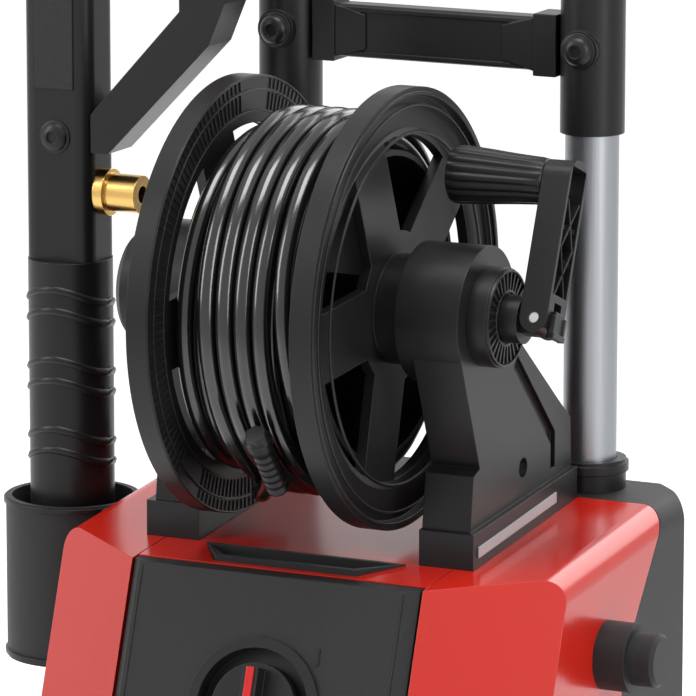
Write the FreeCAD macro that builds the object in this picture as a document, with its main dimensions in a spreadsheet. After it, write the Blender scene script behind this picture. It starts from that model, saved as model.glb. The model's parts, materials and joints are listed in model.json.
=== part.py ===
import FreeCAD, Part
import os
import re
import Sketcher
from FreeCAD import Placement, Rotation, Vector

# Electric pressure washer on two wheels, with a hose reel between two pedestals, a telescopic
# handle behind it and the trigger gun standing in a holder on the left side.
# X points to the crank side, Y to the back, Z up.  The origin is the middle of the front foot,
# on the floor.  Pieces are drawn from the reel's axis, and "reel_y" moves them all back from
# the foot to the reel.

SIZES = {
    # stance
    "reel_y": 92, "foot_half": 100, "foot_depth": 50, "pad_height": 10, "foot_bevel": 4,
    "wheel_radius": 115, "wheel_y": 120, "wheel_gap": 8, "wheel_width": 38,
    "tyre_thick": 22, "axle_radius": 6, "running_gap": 0.06, "rim_wall": 8, "rim_hub": 17,
    "rim_spoke": 16, "rim_spokes": 6, "cap_thick": 5,
    # shells
    "wall": 3, "seam": 0.6, "body_half": 152, "cover_inner": 87, "cover_front": -63,
    "deck_front_z": 503, "deck_slope": 0.084, "lean": 19.3, "knee_z": 330, "cover_bottom": 96,
    "facet_back": 45, "split_y": 55, "split_low_z": 440, "deck_back": 116, "shoulder_round": 14,
    "rear_y": 172, "rear_bevel": 30, "rear_drop": 14,
    "chassis_bottom": 40, "chassis_top": 134, "chassis_front": -117, "chassis_back": 168,
    "chassis_wall": 3.5, "panel_half": 80, "panel_proud": 5, "panel_bottom": 62,
    "panel_bevel": 5.5, "panel_deep": 11,
    # deck
    "deck_thick": 4, "tray_front_half": 42, "tray_back_half": 60, "tray_front": -52,
    "tray_back": -27, "tray_deep": 9, "tray_lip": 3,
    # vents
    "vent_front": -14, "vent_back": 46, "vent_bottom": 244, "vent_top": 403, "vent_plate": 2,
    "vent_reach": 6, "vent_pitch": 6.6, "vent_bar": 3, "vent_rows": 23,
    # switch
    "switch_z": 435, "switch_radius": 36, "switch_deep": 9, "knob_radius": 25, "knob_tall": 9,
    "knob_bar": 9, "knob_bar_tall": 9, "knob_stem": 6, "switch_gap": 0.4,
    # pedestals and reel
    "reel_z": 641, "hub_radius": 38, "hub_inner": 58, "hub_outer": 95, "leg_inner": 66.5,
    "leg_outer": 95, "base_outer": 98.5, "base_front": -24, "base_back": 115,
    "base_front_z": 526, "base_back_z": 536, "block_z": 559, "block_y": -8,
    "leg_back_y": 95, "leg_back_z": 578, "leg_corner_y": 113, "leg_corner_z": 564,
    "groove_wide": 6, "groove_deep": 3, "screw_y": 49, "screw_z": 548, "screw_radius": 5.5,
    "screw_deep": 8, "bearing_radius": 27, "bearing_wide": 11, "trim_thick": 0.8,
    "shaft_radius": 10, "left_cap_radius": 33, "left_cap_reach": 19,
    "flange_radius": 120, "right_flange_x": 48, "left_flange_x": -48, "flange_thick": 12,
    "flange_web": 3, "rim_wide": 5, "spoke_wide": 38, "spoke_count": 5,
    "spoke_first": -22, "flange_hub": 30, "rim_deep": 26, "drum_radius": 85,
    "drum_wall": 3, "hose_diameter": 10, "winding_right": 22.5, "winding_left": 11,
    "fitting_angle": -128, "fitting_seat": 113.4, "fitting_long": 46, "fitting_radius": 6.5,
    "fitting_x": 8,
    # crank
    "crank_lean": 22, "hinge_x": 127, "arm_thick": 16, "arm_wide": 24, "arm_reach": 76,
    "arm_beyond": 12, "arm_foot": 8, "arm_web": 3, "arm_wall": 2.5, "tongue_wide": 9,
    "tongue_gap": 0.4, "hinge_pin_radius": 3, "neck_radius": 13, "neck_start": 106,
    "grip_inner_x": 63, "grip_radius": 16, "grip_neck": 12.5, "grip_pin_radius": 4,
    # handle
    "tube_x": 93, "tube_back": 145, "tube_radius": 15, "tube_wall": 1.5, "tube_foot": 262,
    "tube_head": 790, "sleeve_radius": 18, "sleeve_foot": 719, "sleeve_head": 800,
    "grip_tilt": 28, "grip_reach": 92, "grip_bend": 34, "grip_bar_radius": 17,
    "bar_low": 752, "bar_high": 782, "bar_half_deep": 8, "bolt_z": 767,
    "bolt_radius": 8.5, "bolt_tall": 6, "boss_radius": 11, "boss_front": 125,
    "collar_radius": 20.5, "collar_top": 535, "collar_lip": 22, "guide_foot": 300,
    "guide_radius": 19, "slide_gap": 0.3, "boss_deep": 4.5,
    # gun and holder
    "gun_y": 60, "gun_foot": 415, "barrel_radius": 24, "barrel_head": 640,
    "seat_z": 428, "seat_radius": 30, "socket_radius": 12,
    "holder_radius": 38, "holder_wall": 3.5, "holder_foot": 410, "holder_head": 503,
    "holder_gap": 0.6, "window_low": 436, "window_high": 488,
    "window_half": 12, "housing_head": 862, "housing_half": 21, "housing_deep": 17,
    "flange_gap": 0.5, "cap_reach": 4,
    "inlet_z": 679, "inlet_radius": 10.8, "inlet_reach": 19, "cross_z": 711,
    "cross_radius": 9.5, "guard_low": 703, "guard_thick": 21, "guard_deep": 14,
    "guard_head": 896, "handle_outer": 105, "handle_inner": 77, "handle_low": 786,
    "trigger_foot": 802, "trigger_x": 68.5, "trigger_half": 4.5, "trigger_deep": 10,
    "pivot_z": 868, "pivot_radius": 2.5, "slot_half": 10, "slot_head": 875,
    "lock_x": 91, "lock_z": 806, "lock_radius": 5, "lock_travel": 6,
    # side peg, water, mains, drive
    "peg_y": 33, "peg_z": 453, "peg_collar": 19, "peg_collar_reach": 18, "peg_radius": 14.7,
    "peg_reach": 33, "water_z": 156, "water_radius": 13, "water_reach": 24,
    "water_thread": 11, "gland_x": 60, "gland_z": 200, "gland_radius": 10, "gland_reach": 22,
    "cable_radius": 4.5, "motor_radius": 56, "motor_low": 170, "motor_high": 345,
    "motor_y": 15, "pump_half": 40, "riser_x": -80,
    "riser_radius": 7,
}

doc = FreeCAD.newDocument("PressureWasher")
sheet = doc.addObject("Spreadsheet::Sheet", "Sizes")
for row, (alias, number) in enumerate(SIZES.items(), 1):
    sheet.set("A%d" % row, alias)
    sheet.set("B%d" % row, str(number))
    sheet.setAlias("B%d" % row, alias)
doc.recompute()

PIECES = []
AXES = {"X": Vector(1, 0, 0), "Y": Vector(0, 1, 0), "Z": Vector(0, 0, 1)}


# ---- expressions ---------------------------------------------------------------------------

def ref(text):
    """The expression with each size's name pointing at its cell in the sheet."""
    return re.sub(r"[a-z][a-z_0-9]+",
                  lambda word: "Sizes." + word.group() if word.group() in SIZES else word.group(),
                  str(text))


def value(text):
    """What the expression is worth now."""
    return float(sheet.evalExpression(ref(text)))


def minus(text):
    return "-(%s)" % text


def on_side(side, low, high):
    """A stretch of X on the right side (1), or its mirror image on the left (-1)."""
    return (low, high) if side > 0 else (minus(high), minus(low))


def deck_z(y):
    """Height of the sloping deck at this Y."""
    return "(deck_front_z + (%s - cover_front) * deck_slope)" % y


def front_y(z):
    """Y of the leaning front at this height; below the knee it is vertical."""
    return "(cover_front - (deck_front_z - (%s)) * tan(lean))" % z


# ---- bodies, sketches and features -----------------------------------------------------------

# the rear cover's flat top continues the deck's back edge
REAR_TOP = deck_z("deck_back")


def body(name, x="0", y="0", z="0", turn_x=None):
    """A sub-part whose own origin lies at x, y, z from the point below the reel's axis."""
    piece = doc.addObject("PartDesign::Body", name)
    piece.Label = name
    piece.AllowCompound = True
    if turn_x is not None:
        piece.Placement = Placement(Vector(), Rotation(AXES["X"], value(turn_x)))
        piece.setExpression("Placement.Rotation.Angle", ref(turn_x))
    for way, place in (("x", x), ("y", "reel_y + " + y), ("z", z)):
        piece.setExpression("Placement.Base." + way, ref(place))
    PIECES.append(piece)
    return piece


def reel_body(name):
    return body(name, z="reel_z")


def origin_feature(piece, role):
    return [item for item in piece.Origin.OriginFeatures if item.Role == role][0]


def sketch(piece, plane, at="0", up="0", tilt=None):
    """A sketch on an origin plane, moved along the plane's normal, and up and tilted about X."""
    drawing = piece.newObject("Sketcher::SketchObject", piece.Name + "_sketch")
    drawing.AttachmentSupport = [(origin_feature(piece, plane + "_Plane"), "")]
    drawing.MapMode = "FlatFace"
    if tilt is not None:
        drawing.AttachmentOffset = Placement(Vector(), Rotation(AXES["X"], value(tilt)))
        drawing.setExpression("AttachmentOffset.Rotation.Angle", ref(tilt))
    drawing.setExpression("AttachmentOffset.Base.y", ref(up))
    drawing.setExpression("AttachmentOffset.Base.z", ref(at))
    return drawing


def hold(drawing, point, across, up):
    """Fix a point of the sketch at two expressions, measured from the sketch's origin."""
    for kind, text in (("DistanceX", across), ("DistanceY", up)):
        number = drawing.addConstraint(
            Sketcher.Constraint(kind, -1, 1, point[0], point[1], value(text)))
        drawing.setExpression("Constraints[%d]" % number, ref(text))


def draw_outline(drawing, corners):
    places = [Vector(value(across), value(up), 0) for across, up in corners]
    first = drawing.GeometryCount
    count = len(corners)
    for index in range(count):
        drawing.addGeometry(Part.LineSegment(places[index], places[(index + 1) % count]), False)
    for index in range(count):
        following = first + (index + 1) % count
        drawing.addConstraint(Sketcher.Constraint("Coincident", first + index, 2, following, 1))
        hold(drawing, (first + index, 1), *corners[index])


def draw_circle(drawing, across, up, radius):
    middle = Vector(value(across), value(up), 0)
    index = drawing.addGeometry(Part.Circle(middle, AXES["Z"], value(radius)), False)
    hold(drawing, (index, 3), across, up)
    number = drawing.addConstraint(Sketcher.Constraint("Radius", index, value(radius)))
    drawing.setExpression("Constraints[%d]" % number, ref(radius))


def draw(drawing, shapes):
    """Each shape is a list of corners, or a circle as (across, up, radius)."""
    for shape in shapes:
        if isinstance(shape, tuple):
            draw_circle(drawing, *shape)
        else:
            draw_outline(drawing, shape)


def box(low, high):
    """A rectangle's corners from its two opposite ones."""
    return [(low[0], low[1]), (high[0], low[1]), (high[0], high[1]), (low[0], high[1])]


def extrude(piece, plane, low, high, shapes, kind="Pad", **place):
    """Pad or pocket the shapes between two places along the axis that the plane lacks."""
    at = minus(high) if plane == "XZ" else low
    drawing = sketch(piece, plane, at, **place)
    draw(drawing, shapes)
    feature = piece.newObject("PartDesign::" + kind, piece.Name + "_" + kind.lower())
    feature.Profile = drawing
    feature.setExpression("Length", ref("(%s) - (%s)" % (high, low)))
    feature.Reversed = kind == "Pocket"
    return feature


def pad(piece, plane, low, high, *shapes):
    return extrude(piece, plane, low, high, shapes)


def cut(piece, plane, low, high, *shapes, **place):
    return extrude(piece, plane, low, high, shapes, "Pocket", **place)


def turned(piece, profile, axis="H_Axis", kind="Revolution"):
    """Turn a profile in the XZ plane about X (H_Axis) or Z (V_Axis)."""
    drawing = sketch(piece, "XZ")
    draw_outline(drawing, profile)
    feature = piece.newObject("PartDesign::" + kind, piece.Name + "_turned")
    feature.Profile = drawing
    feature.ReferenceAxis = (drawing, [axis])
    feature.Angle = 360
    return feature


def ring(low, high, inner, outer):
    """The profile of a ring about X, for turned()."""
    return [(low, inner), (high, inner), (high, outer), (low, outer)]


def around(piece, feature, count, axis="X"):
    """Repeat a feature evenly about the body's own axis."""
    pattern = piece.newObject("PartDesign::PolarPattern", piece.Name + "_pattern")
    pattern.Originals = [feature]
    pattern.Axis = (origin_feature(piece, axis + "_Axis"), [""])
    pattern.Angle = 360
    pattern.setExpression("Occurrences", ref(count))
    piece.Tip = pattern
    return pattern


def in_a_row(piece, feature, axis, pitch, count):
    """Repeat a feature along one of the body's axes."""
    pattern = piece.newObject("PartDesign::LinearPattern", piece.Name + "_pattern")
    pattern.Originals = [feature]
    pattern.Direction = (origin_feature(piece, axis + "_Axis"), [""])
    pattern.setExpression("Length", ref("(%s) * ((%s) - 1)" % (pitch, count)))
    pattern.setExpression("Occurrences", ref(count))
    piece.Tip = pattern
    return pattern


def everywhere(place):
    return True


def soften(piece, axis, size, keep=everywhere, kind="Fillet"):
    """Fillet or chamfer the straight edges along one axis that keep() accepts."""
    doc.recompute()
    base = piece.Tip
    names = []
    for number, edge in enumerate(base.Shape.Edges, 1):
        if edge.Curve.TypeId != "Part::GeomLine":
            continue
        way = edge.tangentAt(edge.FirstParameter)
        if abs(way.dot(AXES[axis])) > 0.995 and keep(edge.CenterOfMass):
            names.append("Edge%d" % number)
    feature = piece.newObject("PartDesign::" + kind, piece.Name + "_" + kind.lower())
    feature.Base = (base, names)
    feature.setExpression("Radius" if kind == "Fillet" else "Size", ref(size))
    return feature


def hollow(piece, open_faces, thickness="wall"):
    """Leave a wall inside the body's faces, with the faces that open_faces accepts open."""
    doc.recompute()
    base = piece.Tip
    names = []
    for number, face in enumerate(base.Shape.Faces, 1):
        if open_faces(face.normalAt(0, 0), face.CenterOfMass):
            names.append("Face%d" % number)
    feature = piece.newObject("PartDesign::Thickness", piece.Name + "_hollow")
    feature.Base = (base, names)
    feature.setExpression("Value", ref(thickness))
    feature.Reversed = True
    feature.Join = 1
    return feature


# ---- chassis, foot and shells ----------------------------------------------------------------

def make_chassis():
    piece = body("chassis")
    half = "body_half - wall - seam"
    front = [("-(%s)" % half, "chassis_front + facet_back"), ("-cover_inner", "chassis_front"),
             ("cover_inner", "chassis_front"), (half, "chassis_front + facet_back"),
             (half, "chassis_back - rear_bevel"), ("%s - rear_bevel" % half, "chassis_back"),
             ("-(%s - rear_bevel)" % half, "chassis_back"),
             ("-(%s)" % half, "chassis_back - rear_bevel")]
    pad(piece, "XY", "chassis_bottom", "chassis_top", front)
    hollow(piece, lambda normal, middle: normal.z > 0.9, "chassis_wall")
    axle_hole = ("wheel_y", "wheel_radius", "axle_radius + running_gap")
    cut(piece, "YZ", "-body_half", "body_half", axle_hole)
    for side in (1, -1):
        low, high = on_side(side, "%s - 24" % half, "%s - chassis_wall" % half)
        pad(piece, "YZ", low, high, ("wheel_y", "wheel_radius", "axle_radius * 2.2"))
        cut(piece, "YZ", low, high, axle_hole)


def make_foot():
    deep = "foot_depth / 2"
    piece = body("front_foot", y="-reel_y")
    pad(piece, "XY", "pad_height", "chassis_bottom",
        box(("-foot_half - 6", minus(deep)), ("foot_half + 6", deep)))
    soften(piece, "Z", "foot_bevel * 2")
    piece = body("foot_pad", y="-reel_y")
    pad(piece, "XY", "0", "pad_height", box(("-foot_half", minus(deep)), ("foot_half", deep)))
    soften(piece, "Z", "foot_bevel * 2")


def make_cover(side, name):
    """A red side cover: a side wall, a front facet that turns back and leans, and a shoulder."""
    piece = body(name)
    low_front = front_y("knee_z")
    pad(piece, "YZ", *on_side(side, "cover_inner", "body_half"),
        [(low_front, "cover_bottom"), (low_front, "knee_z"), ("cover_front", "deck_front_z"),
         ("deck_back", deck_z("deck_back")), ("split_y", "split_low_z"),
         ("split_y", "cover_bottom")])
    facet = "facet_back * (body_half + 5 - cover_inner) / (body_half - cover_inner)"
    for front, squash, low, place in (
            (low_front, "1", "cover_bottom - 5", {}),
            ("0", "cos(lean)", "knee_z", {"up": low_front, "tilt": "-lean"})):
        corner = "%s + %s * %s" % (front, facet, squash)
        wedge = [("cover_inner", front), ("body_half + 5", corner),
                 ("body_half + 5", front + " - 5"), ("cover_inner", front + " - 5")]
        if side < 0:
            wedge = [(minus(x), y) for x, y in wedge]
        cut(piece, "XY", low, REAR_TOP + " + 60", wedge, **place)
    top_side = value("body_half") - 1
    soften(piece, "Y", "shoulder_round",
           lambda place: abs(place.x) > top_side and place.z > value("deck_front_z") - 2)
    hollow(piece, lambda normal, middle: normal.z < -0.9 or abs(normal.x) > 0.99
           and abs(middle.x) < value("cover_inner") + 1 or normal.y > 0.5)


def make_rear_cover():
    piece = body("rear_cover")
    plan = [("-body_half", "split_y + seam"), ("body_half", "split_y + seam"),
            ("body_half", "rear_y - rear_bevel"), ("body_half - rear_bevel", "rear_y"),
            ("-body_half + rear_bevel", "rear_y"), ("-body_half", "rear_y - rear_bevel")]
    pad(piece, "XY", "cover_bottom", REAR_TOP, plan)
    start = "deck_back + seam"
    above = REAR_TOP + " + 5"
    cut(piece, "YZ", "-body_half - 5", "body_half + 5",
        [("split_y - 5", "split_low_z - 8"), ("split_y + seam", "split_low_z"),
         (start, REAR_TOP), (start, above), ("split_y - 5", above)])
    slope_start = "tube_back + collar_lip"
    cut(piece, "YZ", "-body_half - 5", "body_half + 5",
        [(slope_start, REAR_TOP), ("rear_y + 5", REAR_TOP + " - rear_drop"),
         ("rear_y + 5", above), (slope_start, above)])
    soften(piece, "Y", "shoulder_round",
           lambda place: abs(place.x) > value("body_half") - 1 and place.z > value("deck_front_z"))
    hollow(piece, lambda normal, middle: normal.z < -0.9 or normal.y < -0.5)
    cut(piece, "YZ", "-cover_inner", "cover_inner",
        box(("split_y - 5", "split_low_z - 8"), (start, above)))
    for side in ("tube_x", "-tube_x"):
        cut(piece, "XY", "deck_front_z - 30", above,
            (side, "tube_back", "guide_radius + seam / 2"))
    cut(piece, "XZ", "rear_y - 20", "rear_y + 5",
        ("gland_x", "gland_z", "gland_radius + seam / 2"))
    cut(piece, "YZ", "-body_half", "body_half", ("wheel_y", "wheel_radius", "axle_radius + seam"))


def make_front_panel():
    piece = body("front_panel")
    top = "deck_front_z"
    outer = [(front_y(top) + " - panel_proud", top), (front_y("knee_z") + " - panel_proud", "knee_z"),
             (front_y("knee_z") + " - panel_proud", "panel_bottom"),
             (front_y("knee_z") + " - panel_proud + panel_deep", "panel_bottom"),
             (front_y("knee_z") + " - panel_proud + panel_deep", "knee_z"),
             (front_y(top) + " - panel_proud + panel_deep", top)]
    pad(piece, "YZ", "-panel_half - panel_bevel", "panel_half + panel_bevel", outer)
    doc.recompute()
    base = piece.Tip
    front = value(front_y("knee_z") + " - panel_proud")
    names = []
    for number, edge in enumerate(base.Shape.Edges, 1):
        middle = edge.CenterOfMass
        on_front = middle.y < front + 0.1 or middle.y < value(
            front_y(middle.z) + " - panel_proud") + 0.1
        if abs(middle.x) > value("panel_half") and on_front:
            names.append("Edge%d" % number)
    bevel = piece.newObject("PartDesign::Chamfer", "front_panel_bevel")
    bevel.Base = (base, names)
    bevel.setExpression("Size", ref("panel_bevel"))
    hollow(piece, lambda normal, middle: normal.y > 0.5)
    behind = front_y("switch_z") + " - panel_proud + 20 * cos(lean)"
    cut(piece, "XZ", behind + " - 40", behind, ("0", "0", "switch_radius"),
        up="switch_z - 20 * sin(lean)", tilt="-lean")
    cut(piece, "XZ", "-200", "-90", ("0", "water_z", "water_radius + seam / 2"))


def make_deck():
    back_of_panel = "cover_front - panel_proud + panel_deep + seam"
    half = "cover_inner - seam"
    piece = body("top_deck")
    top = [(back_of_panel, deck_z(back_of_panel)), ("deck_back", deck_z("deck_back"))]
    under = [("deck_back", deck_z("deck_back") + " - deck_thick"),
             (back_of_panel, deck_z(back_of_panel) + " - deck_thick")]
    pad(piece, "YZ", minus(half), half, top + under)
    cut(piece, "XY", "deck_front_z - 20", REAR_TOP, tray_outline("seam"))
    piece = body("deck_tray")
    rim = deck_z("tray_back") + " + 1"
    pad(piece, "XY", rim + " - tray_deep", rim, tray_outline("0"))
    cut(piece, "XY", rim + " - tray_deep + wall", rim, tray_outline("-tray_lip"))


def tray_outline(grow):
    """The tray's trapezoid in plan, grown on every side."""
    return [("-tray_front_half - %s" % grow, "tray_front - %s" % grow),
            ("tray_front_half + %s" % grow, "tray_front - %s" % grow),
            ("tray_back_half + %s" % grow, "tray_back + %s" % grow),
            ("-tray_back_half - %s" % grow, "tray_back + %s" % grow)]


def make_vent(side, name):
    piece = body(name)
    plate = "body_half + vent_plate"
    pad(piece, "YZ", *on_side(side, "body_half", plate),
        box(("vent_front", "vent_bottom"), ("vent_back", "vent_top")))
    bar = pad(piece, "YZ", *on_side(side, plate, "body_half + vent_reach"),
              box(("vent_front", "vent_bottom"), ("vent_back", "vent_bottom + vent_bar")))
    in_a_row(piece, bar, "Z", "vent_pitch", "vent_rows")


# ---- switch ----------------------------------------------------------------------------------

def switch_body(name):
    """A body whose Z leaves the leaning panel's face at the switch's middle."""
    return body(name, y=front_y("switch_z") + " - panel_proud", z="switch_z",
                turn_x="90 - lean")


def make_switch():
    floor = "-switch_deep"
    piece = switch_body("switch_bezel")
    stem_hole = "knob_stem + running_gap"
    edge = "switch_radius - switch_gap"
    turned(piece, [(stem_hole, floor + " - wall"), (edge, floor + " - wall"), (edge, "0"),
                   ("switch_radius + wall", "0"), ("switch_radius + wall", "wall / 2"),
                   ("switch_radius - wall", "wall / 2"), ("switch_radius - wall", floor),
                   (stem_hole, floor)], "V_Axis")
    piece = switch_body("switch_knob")
    seat = floor + " + switch_gap"
    pad(piece, "XY", seat, seat + " + knob_tall", ("0", "0", "knob_radius"))
    pad(piece, "XY", seat + " + knob_tall", seat + " + knob_tall + knob_bar_tall",
        box(("-knob_bar / 2", "-knob_radius + wall"), ("knob_bar / 2", "knob_radius - wall")))
    pad(piece, "XY", floor + " - wall * 4", seat, ("0", "0", "knob_stem"))
    piece = switch_body("switch_pointer")
    crown = seat + " + knob_tall + knob_bar_tall"
    pad(piece, "XY", crown, crown + " + wall / 4",
        box(("-knob_bar / 4", "0"), ("knob_bar / 4", "knob_radius - wall")))
    piece = switch_body("switch_box")
    pad(piece, "XY", floor + " - wall * 13", floor + " - wall",
        box(("-knob_radius", "-knob_radius"), ("knob_radius", "knob_radius")))
    cut(piece, "XY", floor + " - wall * 5", floor + " - wall", ("0", "0", stem_hole))


# ---- pedestals ---------------------------------------------------------------------------------

def hub_start(side):
    """How far out the pedestal's hub begins; the left flange leaves less room."""
    return "hub_inner" if side > 0 else "leg_inner"


def make_pedestal(side, name):
    piece = body(name)
    pad(piece, "YZ", *on_side(side, "leg_inner", "base_outer"),
        [("base_front", deck_z("base_front")), ("base_back", deck_z("base_back")),
         ("base_back", "base_back_z"), ("base_front", "base_front_z")])
    pad(piece, "YZ", *on_side(side, "leg_inner", "leg_outer"),
        [("base_front + 4", "base_front_z"), ("base_back", "base_front_z"),
         ("leg_corner_y", "leg_corner_z"), ("leg_back_y", "leg_back_z"),
         ("hub_radius * 0.92", "reel_z - hub_radius * 0.38"), ("0", "reel_z"),
         ("-hub_radius * 0.97", "reel_z - hub_radius * 0.22"), ("block_y", "block_z"),
         ("block_y - 8", "block_z - 3")])
    pad(piece, "YZ", *on_side(side, hub_start(side), "hub_outer"), ("0", "reel_z", "hub_radius"))
    cut(piece, "YZ", *on_side(side, "hub_inner - 5", "base_outer + 5"),
        ("0", "reel_z", "shaft_radius + running_gap"))
    half = "groove_wide / 2"
    start = ("hub_radius", "reel_z - hub_radius * 0.84")
    bend = ("leg_back_y - 6", "leg_back_z - 21")
    groove = [(start[0] + " - " + half, start[1] + " - " + half),
              (bend[0] + " - " + half, bend[1] + " - " + half),
              (bend[0] + " - " + half, "base_back_z + 4"),
              (bend[0] + " + " + half, "base_back_z + 4"),
              (bend[0] + " + " + half, bend[1] + " + " + half),
              (start[0] + " + " + half, start[1] + " + " + half)]
    cut(piece, "YZ", *on_side(side, "leg_outer - groove_deep", "leg_outer"), groove)
    cut(piece, "YZ", *on_side(side, "leg_outer - screw_deep", "leg_outer"),
        ("screw_y", "screw_z", "screw_radius"))


def make_pedestal_trim():
    piece = body("pedestal_trims")
    for side in (1, -1):
        pad(piece, "YZ", *on_side(side, "base_outer", "base_outer + trim_thick"),
            [("base_front + 6", deck_z("base_front") + " + 6"),
             ("base_back - 30", deck_z("base_back - 30") + " + 6"),
             ("base_back - 30", deck_z("base_back - 30") + " + 12"),
             ("base_front + 6", deck_z("base_front") + " + 12")])
    piece = body("pedestal_screws")
    for side in (1, -1):
        pad(piece, "YZ", *on_side(side, "leg_outer - screw_deep", "leg_outer - screw_deep + 4"),
            ("screw_y", "screw_z", "screw_radius - switch_gap"))


def make_hub_covers():
    turned(reel_body("bearing_ring"),
           ring("hub_outer", "hub_outer + bearing_wide", "shaft_radius + running_gap",
                "bearing_radius"))
    piece = reel_body("swivel_cover")
    turned(piece, [("-hub_outer", "shaft_radius + 2"), ("-hub_outer", "left_cap_radius"),
                   ("-hub_outer - left_cap_reach + 4", "left_cap_radius"),
                   ("-hub_outer - left_cap_reach", "left_cap_radius - 4"),
                   ("-hub_outer - left_cap_reach", "0"),
                   ("-hub_outer - left_cap_reach + wall", "0"),
                   ("-hub_outer - left_cap_reach + wall", "shaft_radius + 2")])


# ---- reel --------------------------------------------------------------------------------------

def make_reel_core():
    low = "left_flange_x"
    high = "right_flange_x - flange_thick"
    bore = "shaft_radius + running_gap"
    tube = "shaft_radius + 6"
    inside = "drum_radius - drum_wall"
    half = "drum_wall / 2"
    turned(reel_body("reel_core"),
           [(low, bore), (high, bore), (high, tube), (half, tube), (half, inside),
            (high, inside), (high, "drum_radius"), (low, "drum_radius"), (low, inside),
            (minus(half), inside), (minus(half), tube), (low, tube)])


def make_flange(side, name, inner):
    """A five-spoked flange; inner is the X of the face that the hose lies against."""
    piece = body(name, z="reel_z", turn_x="-spoke_first")

    def at(step):
        return "%s + %d * (%s)" % (inner, side, step)
    bore = "shaft_radius + running_gap"
    boss_end = "%d * (%s - seam)" % (side, hub_start(side))
    turned(piece, [(at("0"), bore), (boss_end, bore), (boss_end, "flange_hub"),
                   (at("flange_web * 2"), "flange_hub"),
                   (at("flange_web * 2"), "flange_hub + 12"), (at("0"), "flange_hub + 12")])
    ends = (at("0"), at("flange_web * 2"))
    low, high = ends if side > 0 else ends[::-1]
    spoke = pad(piece, "YZ", low, high,
                box(("-spoke_wide / 2", "flange_hub"), ("spoke_wide / 2", "flange_radius - rim_deep + 1")))
    around(piece, spoke, "spoke_count")
    rim = "flange_radius"
    window = "flange_radius - rim_deep"
    turned(piece, [(at("0"), window), (at("flange_web * 2"), window),
                   (at("flange_thick - 4"), window + " + 4"),
                   (at("flange_thick - 4"), rim + " - rim_wide"),
                   (at("flange_thick"), rim + " - rim_wide + 1"), (at("flange_thick"), rim),
                   (at("0"), rim)])


def make_winding():
    """The wound hose: thicker beside the right flange than beside the left one."""
    low = "left_flange_x + flange_gap"
    high = "right_flange_x - flange_thick - flange_gap"
    inside = "drum_radius + slide_gap"
    turned(reel_body("hose_winding"),
           [(low, inside), (high, inside), (high, "drum_radius + winding_right"),
            ("-hose_diameter", "drum_radius + winding_right - 2"),
            (low, "drum_radius + winding_left")])
    piece = body("hose_fitting", z="reel_z", turn_x="-fitting_angle")
    half = "fitting_long / 2"
    pad(piece, "XZ", minus(half), half, ("fitting_x", "fitting_seat", "fitting_radius"))
    pad(piece, "XZ", half + " - 10", half + " - 4", ("fitting_x", "fitting_seat", "fitting_radius + 1"))


def make_shaft():
    turned(reel_body("reel_shaft"),
           ring("-hub_outer - 8", "neck_start", "shaft_radius - 5", "shaft_radius"))
    piece = body("crank_neck", z="reel_z", turn_x="-crank_lean")
    end = "hinge_x - arm_thick / 2 - seam * 2"
    turned(piece, [("neck_start", "0"), (end, "0"), (end, "neck_radius"),
                   ("neck_start", "neck_radius")])
    half = "tongue_wide / 2"
    pad(piece, "XZ", minus(half), half, box((end + " - 1", "-arm_foot"), ("hinge_x", "arm_foot")))
    pad(piece, "XZ", minus(half), half, ("hinge_x", "0", "arm_foot"))
    cut(piece, "XZ", minus(half), half, ("hinge_x", "0", "hinge_pin_radius + running_gap"))


# ---- crank -------------------------------------------------------------------------------------

def crank_body(name, along="0"):
    """A body at the crank's hinge, or further along the leaning arm, with Z along the arm."""
    return body(name, x="hinge_x", y="(%s) * sin(crank_lean)" % along,
                z="reel_z + (%s) * cos(crank_lean)" % along, turn_x="-crank_lean")


def make_crank():
    piece = crank_body("crank_arm")
    thick = "arm_thick / 2"
    wide = "arm_wide / 2"
    pad(piece, "XZ", minus(wide), wide,
        box((minus(thick), "0"), (thick, "arm_reach + arm_beyond")))
    pad(piece, "XZ", minus(wide), wide, ("0", "0", "arm_foot"))
    soften(piece, "X", "arm_wide / 2 - 1", lambda place: place.z > value("arm_reach"))
    cut(piece, "YZ", minus(thick) + " + arm_web", thick,
        box((minus(wide) + " + arm_wall", "arm_foot + 6"), (wide + " - arm_wall", "arm_reach + 8")))
    slot = "tongue_wide / 2 + tongue_gap"
    cut(piece, "XZ", minus(slot), slot, box(("-arm_thick", "-arm_foot - 1"),
                                           ("arm_thick", "arm_foot + 2")))
    cut(piece, "XZ", minus(wide), wide, ("0", "0", "hinge_pin_radius + running_gap"))
    cut(piece, "YZ", minus(thick), "0", ("0", "arm_reach", "grip_pin_radius + running_gap"))
    for place in ("arm_foot + 24", "arm_foot + 42"):
        pad(piece, "XY", place, place + " + arm_wall",
            box((minus(thick) + " + arm_web", minus(wide) + " + 1"), (thick + " - 2", wide + " - 1")))
    piece = crank_body("crank_pin")
    pad(piece, "XZ", minus(wide) + " + 1", wide + " - 1", ("0", "0", "hinge_pin_radius"))


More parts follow.
